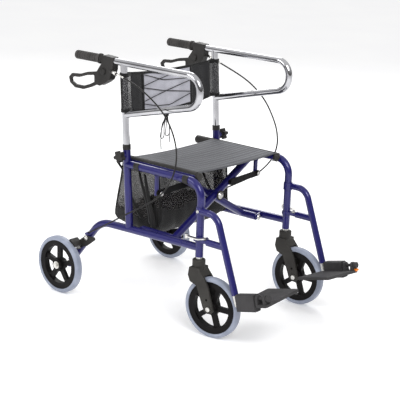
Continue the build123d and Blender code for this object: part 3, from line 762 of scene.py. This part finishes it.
def back_tape(name, route, width, thickness=0.0026):
    """Flat binding tape along points of the backrest, laid on its front."""
    points = []
    across_steps = [(-1, 0), (-0.8, 1), (0.8, 1), (1, 0), (0.8, -1), (-0.8, -1)]
    for i, here in enumerate(route):
        before = route[max(i - 1, 0)]
        after = route[min(i + 1, len(route) - 1)]
        along = (after - before).normalized()
        out = Vector((0, -1, 0))
        across = along.cross(out).normalized()
        for a, b in across_steps:
            points.append(here + across * a * width / 2 + out * b * thickness / 2)
    faces = ring_faces(len(route), len(across_steps))
    tape = make_piece(name, points, faces, BINDING)
    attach(tape, "right_handle")
    return crumple(tape)


def sleeve_outline(side, z, grow=0.0, steps=28):
    """The sleeve's teardrop section round a handle post, closing onto the panel."""
    outline = []
    for j in range(steps):
        turn = radians(28 + 304 * j / (steps - 1))
        pull = 1 + 0.04 * noise.noise(Vector((turn * 1.4, z * 45, side * 3.0)))
        reach = SLEEVE_R * pull + grow
        if j in (0, steps - 1):
            offset = (-side * 0.030, (0.0012 + grow) * (1 if j == 0 else -1))
        else:
            offset = (-side * cos(turn) * reach, sin(turn) * reach)
        outline.append((side * FRAME_X + offset[0], upright_y(z) + offset[1], z))
    return outline


def sleeve_band(name, side, low, high, finish, grow, steps=28):
    rows = max(2, round((high - low) / 0.005))
    points = []
    for i in range(rows + 1):
        points.extend(sleeve_outline(side, low + (high - low) * i / rows, grow, steps))
    faces = grid_faces(rows + 1, steps, wrap=True)
    return make_piece(name, points, faces, finish)


def back_sleeves():
    """Net sleeves round the two handle posts, hemmed at both ends and seamed down the outside."""
    low, high = BACK_BOTTOM + 0.002, BACK_TOP
    for name, side in SIDES:
        ends = (("top", high - 0.011, high + 0.001), ("bottom", low - 0.001, low + 0.009))
        for end, bottom, top in ends:
            hem = sleeve_band(f"{name}_sleeve_hem_{end}", side, bottom, top, BINDING, 0.0008)
            thicken(hem, 0.0014)
            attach(hem, f"{name}_handle")
        sleeve = sleeve_band(f"{name}_back_sleeve", side, low, high, SLEEVE_NET, 0.0)
        outline = [Vector(p) for p in sleeve_outline(side, low)]
        cloth_sheet(sleeve, 0.0008)
        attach(sleeve, f"{name}_handle")
        seam = []
        for i in range(13):
            z = low + (high - low) * i / 12
            seam.append(Vector((side * (FRAME_X + SLEEVE_R + 0.001), upright_y(z) + 0.001, z)))
        tube_piece(f"{name}_sleeve_seam", seam, 0.0022, BINDING, f"{name}_handle")


def back_laces():
    """Elastic lacing that crosses the light net between the two dark panels."""
    hooks = [
        [(-0.128, 0.788), (-0.030, 0.771)],
        [(-0.135, 0.743), (0.007, 0.768)],
        [(-0.129, 0.779), (-0.033, 0.751), (0.093, 0.744)],
        [(-0.140, 0.691), (0.103, 0.738)],
        [(-0.136, 0.737), (-0.034, 0.715), (0.102, 0.697)],
        [(-0.141, 0.685), (-0.071, 0.669), (-0.004, 0.665), (0.102, 0.693)],
    ]
    for i, route in enumerate(hooks):
        out = 0.0034 + 0.0016 * (i % 2)
        control = [tuple(back_point(x, z, out) * 1000) for x, z in dense(route)]
        lace = cord_piece(f"back_lace_{i + 1}", control, 0.0026, LACE)[0]
        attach(lace, "right_handle")
        crumple(lace)


def dense(route):
    """The route with each span cut in steps, so that it lies on the bowed cloth."""
    steps = 5
    shape = [route[0]]
    for a, b in zip(route, route[1:]):
        for i in range(1, steps + 1):
            share = i / steps
            shape.append((a[0] + (b[0] - a[0]) * share, a[1] + (b[1] - a[1]) * share))
    return shape


def backrest():
    dark_right, dark_left = DARK_EDGE
    net = back_patch("back_net", dark_right, dark_left, BACK_NET, 40, 0.0006)
    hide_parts("backrest_sling")
    outer = PANEL_EDGE + 0.001
    back_patch("back_panel_right", -outer, dark_right, DARK_CLOTH, 14, 0.0022)
    back_patch("back_panel_left", dark_left, outer, DARK_CLOTH, 16, 0.0022)
    columns = [-PANEL_EDGE + 2 * PANEL_EDGE * i / 40 for i in range(41)]
    lower_edge = [back_point(x, back_bottom(x) + 0.004) for x in columns]
    back_tape("back_binding_bottom", lower_edge, 0.011)
    back_tape("back_binding_top", [back_point(x, back_top(x) - 0.004) for x in columns], 0.010)
    for name, x in (("right", dark_right), ("left", dark_left)):
        heights = [back_bottom(x) + (back_top(x) - back_bottom(x)) * i / 12 for i in range(13)]
        back_tape(f"back_binding_{name}", [back_point(x, z, 0.0006) for z in heights], 0.012)
    back_sleeves()
    back_laces()


backrest()


# ---- Storage bag -------------------------------------------------------------

BAG_HALF = 0.172
BAG_TOP = 0.486
BAG_LIFT = 0.008               # the whole bag sits this much above its profile
BAG_PROFILE = [
    (0.038, BAG_TOP), (0.033, 0.420), (0.028, 0.350), (0.026, 0.300), (0.036, 0.272),
    (0.070, 0.264), (0.130, 0.264), (0.190, 0.271), (0.222, 0.278), (0.2315, 0.286),
    (0.2275, 0.320), (0.214, 0.385), (0.205, 0.430), (0.199, BAG_TOP - 0.014),
]


def set_bag_cloth(piece):
    """Solid cloth at the bottom of the bag, net above it."""
    for polygon in piece.data.polygons:
        spot = polygon.center
        edge = 0.318 + 0.030 * noise.noise(Vector((spot.x * 8, spot.y * 11, 0.5)))
        edge += 0.045 * max(0.0, 1 - abs(spot.y - 0.045) / 0.05)
        polygon.material_index = 1 if spot.z < edge else 0


def smooth_profile(corners, steps):
    """Evenly stepped points along a smooth line near the corners."""
    line = evaluated_mesh(spline_of([(0, y, z) for y, z in corners]), "bag_line")
    path = [v.co.copy() for v in line.vertices]
    bpy.data.meshes.remove(line)
    total = run_length(path)
    shape = []
    for i in range(steps + 1):
        target = total * i / steps
        gone = 0.0
        for a, b in zip(path, path[1:]):
            step = (b - a).length
            if gone + step >= target - 1e-9:
                shape.append(a.lerp(b, min(1, max(0, (target - gone) / step))))
                break
            gone += step
    return shape


def bag_wrinkle(point):
    """How far the slack net stands in or out at a point."""
    low = max(0.0, (0.44 - point.z) / 0.18)
    broad = noise.noise(Vector((point.x * 9, point.y * 9, point.z * 14)))
    sharp = abs(noise.noise(Vector((point.x * 16 + 4, point.y * 24, point.z * 9 + 2))))
    return (0.006 * broad - 0.007 * sharp) * min(1.0, 0.35 + low)


def storage_bag():
    steps, columns = 48, 44
    profile = smooth_profile(BAG_PROFILE, steps)
    points = []
    for i, spot in enumerate(profile):
        before = profile[max(i - 1, 0)]
        after = profile[min(i + 1, steps)]
        run = (after - before).normalized()
        outward = Vector((0, -run.z, run.y)) * -1
        held = min(1.0, min(i, steps - i) / 5)
        for j in range(columns + 1):
            share = j / columns * 2 - 1
            slack = 1 - share ** 4
            x = share * BAG_HALF
            droop = 0.014 * slack * max(0.0, sin(pi * i / steps)) ** 3
            place = Vector((x, spot.y, spot.z - droop + BAG_LIFT))
            points.append(place - outward * bag_wrinkle(place) * held)
    finish = (BAG_NET, BAG_CLOTH)
    faces = grid_faces(steps + 1, columns + 1)
    shell = make_piece("bag_net", points, faces, finish)
    set_bag_cloth(shell)
    cloth_sheet(shell, 0.0012)
    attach(shell, "right_frame")
    crumple(shell)
    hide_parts("storage_bag")
    bag_sides(profile)
    bag_binding(profile)


def bag_sides(profile):
    """The two gathered end panels, each cut to the outline of the bag's profile."""
    half = len(profile) // 2
    edges = zip(profile, [*profile[1:], profile[0]])
    outline_area = abs(sum(a.y * b.z - b.y * a.z for a, b in edges)) / 2
    rows, columns = half, 16
    for name, side in SIDES:
        points = []
        for i in range(rows + 1):
            front = profile[i]
            rear = profile[len(profile) - 1 - i]
            for j in range(columns + 1):
                share = j / columns
                spot = front.lerp(rear, share)
                belly = 0.013 * sin(pi * share) * sin(pi * min(1.0, (i + 2) / (rows + 4)))
                place = Vector((side * (BAG_HALF + belly), spot.y, spot.z + BAG_LIFT))
                edge = min(share, 1 - share, (rows - i) / rows * 2, 0.25) * 4
                place.x += side * 0.8 * bag_wrinkle(place) * edge
                points.append(place)
        finish = (BAG_NET, BAG_CLOTH)
        faces = grid_faces(rows + 1, columns + 1)
        panel = make_piece(f"{name}_bag_end", points, faces, finish)
        set_bag_cloth(panel)
        cloth_sheet(panel, 0.0012)
        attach(panel, "right_frame")
        crumple(panel)
        bag_folds(name, side)


def bag_folds(name, side):
    """Gathered folds of doubled net that run down the end panel."""
    folds = {
        "long": [(0.083, 0.466, 0.006), (0.079, 0.430, 0.008), (0.062, 0.375, 0.010),
                 (0.045, 0.325, 0.012), (0.040, 0.285, 0.012)],
        "short": [(0.110, 0.470, 0.005), (0.098, 0.430, 0.008), (0.074, 0.380, 0.010),
                  (0.058, 0.335, 0.011), (0.052, 0.300, 0.010)],
        "rear": [(0.160, 0.410, 0.004), (0.145, 0.375, 0.007), (0.118, 0.340, 0.010),
                 (0.095, 0.312, 0.012)],
    }
    for title, spine in folds.items():
        points = []
        for y, z, half in spine:
            for step in range(7):
                across = (step / 3 - 1) * half
                raised = 0.004 * (1 - (step / 3 - 1) ** 2)
                points.append((side * (BAG_HALF + 0.0155 + raised), y + across, z + across * 0.3))
        fold = make_piece(f"{name}_bag_fold_{title}", points, grid_faces(len(spine), 7), BAG_CLOTH)
        thicken(fold, 0.001, 1)
        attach(fold, "right_frame")
        crumple(fold)


def bag_tube(name, path, radius):
    """Piping on the bag."""
    return crumple(tube_piece(name, path, radius, BINDING, "right_frame"))


def bag_binding(profile):
    """Black piping along the seams and a hem round the mouth."""
    lift = Vector((0, 0, BAG_LIFT))
    for name, side in SIDES:
        seam = [Vector((side * BAG_HALF, p.y, p.z)) + lift for p in profile]
        bag_tube(f"{name}_bag_seam", seam, 0.003)
        ends = [seam[0].lerp(seam[-1], i / 12) for i in range(13)]
        bag_tube(f"{name}_bag_hem", ends, 0.0042)
        for where, spot in (("front", seam[0]), ("rear", seam[-1])):
            steps = ((0.004, -0.02), (0.016, -0.006), (0.024, 0.004))
            lug = [spot + Vector((side * out, 0, rise)) for out, rise in steps]
            bag_tube(f"{name}_bag_lug_{where}", lug, 0.004)
    for where, p in (("front", profile[0]), ("rear", profile[-1])):
        rim = [Vector((-BAG_HALF + 2 * BAG_HALF * i / 24, p.y, p.z)) + lift for i in range(25)]
        bag_tube(f"bag_hem_{where}", rim, 0.0042)


storage_bag()


# ---- Bolts and trim ----------------------------------------------------------

def add_bolts():
    for name, side in SIDES:
        outward = (side, 0, 0)
        frame_body, link_body, brake_body = f"{name}_frame", f"{name}_link", f"{name}_brake"
        pin_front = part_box(f"{name}_cross_mount")[0].y
        pivot = (side * SEAT_X, pin_front, PIVOT_Z)
        bolt_head(f"{name}_pivot_bolt", pivot, (0, -1, 0), 0.0075, 0.005, frame_body)
        link_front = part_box(f"{name}_guide_link")[0].y
        link_end = (side * 0.204, link_front, 0.420 if name == "right" else 0.434)
        bolt_head(f"{name}_link_bolt", link_end, (0, -1, 0), 0.006, 0.0045, link_body)
        rivet = (side * (FRAME_X + 0.0165), POST_Y, 0.408)
        bolt_head(f"{name}_hanger_rivet", rivet, outward, 0.004, 0.003, f"{name}_hanger")
        upper, lower = (side * 0.2456, 0.299, 0.2088), (side * 0.2461, 0.3333, 0.1695)
        bolt_head(f"{name}_brake_bolt_upper", upper, outward, 0.0065, 0.005, brake_body)
        bolt_head(f"{name}_brake_bolt_lower", lower, outward, 0.0065, 0.005, brake_body)
        add_handle_trim(name, side)
    washer = [(0, 0.0165), (0.002, 0.0165), (0.0025, 0.015)]
    lathe("centre_washer", (0, -0.0835, CENTRE_Z), (0, -1, 0), washer, PLASTIC, "cross_a")
    bolt_head("centre_bolt", (0, -0.0858, CENTRE_Z), (0, -1, 0), 0.0088, 0.0075, "cross_a")


def add_handle_trim(name, side):
    """Caps on the brake lever's hinge and the ring where the grip meets its housing."""
    body = f"{name}_handle"
    cap = rounded_cap(0.005, 0.011, 0.003)
    lathe(f"{name}_lever_cap", (side * (FRAME_X + 0.013), *LEVER_PIN), (side, 0, 0), cap, PLASTIC,
          body)
    ring = [(0, 0.0125), (0.001, 0.0142), (0.006, 0.0142), (0.007, 0.0128), (0.017, 0.0128)]
    lathe(f"{name}_grip_ring", (side * FRAME_X, 0.2565, 0.8285), (0, -1, 0), ring, PLASTIC,
          body)
    lathe(f"{name}_lever_cap_inner", (side * (FRAME_X - 0.013), *LEVER_PIN), (-side, 0, 0), cap,
          PLASTIC, body)


def add_reflector():
    """Orange reflector on the left footplate's outer front corner."""
    x, y, z = 0.2395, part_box("left_footplate")[0].y + 0.004, 0.176
    points = []
    length, depth, height = 0.016, 0.010, 0.007
    shape = [(-1, -1), (-0.75, -1.15), (0.75, -1.15), (1, -1)]
    shape += [(-a, -b) for a, b in shape]
    for lift, shrink in ((-1, 0.85), (-0.8, 1), (0.8, 1), (1, 0.85)):
        for a, b in shape:
            out_x, out_y = a * length / 2 * shrink, b * depth / 2 * shrink
            points.append((x + out_x, y + out_y, z + lift * height / 2))
    make_piece("reflector", points, ring_faces(4, len(shape)), ORANGE, "left_plate")


add_bolts()
add_reflector()


# ---- Floor and light ---------------------------------------------------------

def make_floor():
    size = 30
    mesh = bpy.data.meshes.new("floor")
    corners = [(-size, -size, 0), (size, -size, 0), (size, size, 0), (-size, size, 0)]
    mesh.from_pydata(corners, [], [(0, 1, 2, 3)])
    floor = bpy.data.objects.new("floor", mesh)
    bpy.context.scene.collection.objects.link(floor)
    material = new_material("floor", roughness=0.75, specular_ior_level=0.1, emission_strength=0.2,
                            emission_color=(1, 1, 1, 1))
    two_colours(material, noise_node(material, 2), (0.90, 0.90, 0.91), (0.93, 0.93, 0.93))
    mesh.materials.append(material)


def make_light(name, place, target, size, power, colour=(1, 1, 1)):
    data = bpy.data.lights.new(name, "AREA")
    data.size = size
    data.energy = power
    data.color = colour
    light = bpy.data.objects.new(name, data)
    bpy.context.scene.collection.objects.link(light)
    light.location = place
    light.rotation_mode = "QUATERNION"
    light.rotation_quaternion = (Vector(target) - Vector(place)).to_track_quat("-Z", "Y")


def make_world():
    """White studio sky with a darker band near the horizon, for the chrome to mirror."""
    world = bpy.data.worlds.new("world")
    bpy.context.scene.world = world
    world.use_nodes = True
    nodes, links = world.node_tree.nodes, world.node_tree.links
    place = nodes.new("ShaderNodeTexCoord")
    split = nodes.new("ShaderNodeSeparateXYZ")
    ramp = nodes.new("ShaderNodeValToRGB")
    links.new(place.outputs["Generated"], split.inputs["Vector"])
    links.new(split.outputs["Z"], ramp.inputs["Fac"])
    stops = ramp.color_ramp.elements
    stops[0].position, stops[0].color = 0.02, (0.16, 0.15, 0.14, 1)
    stops[1].position, stops[1].color = 0.62, (1, 1, 1, 1)
    middle_stop = stops.new(0.24)
    middle_stop.color = (0.34, 0.34, 0.35, 1)
    background = nodes["Background"]
    links.new(ramp.outputs["Color"], background.inputs["Color"])
    background.inputs["Strength"].default_value = 0.9


make_floor()
make_world()
middle = (0, 0, 0.45)
make_light("key", (-1.7, -2.7, 3.1), middle, 1.8, 88)
make_light("fill", (-3.2, 1.4, 2.0), middle, 1.4, 34)
make_light("rim", (2.4, 2.2, 2.8), middle, 1.8, 52)

bpy.context.scene.view_settings.view_transform = "Standard"
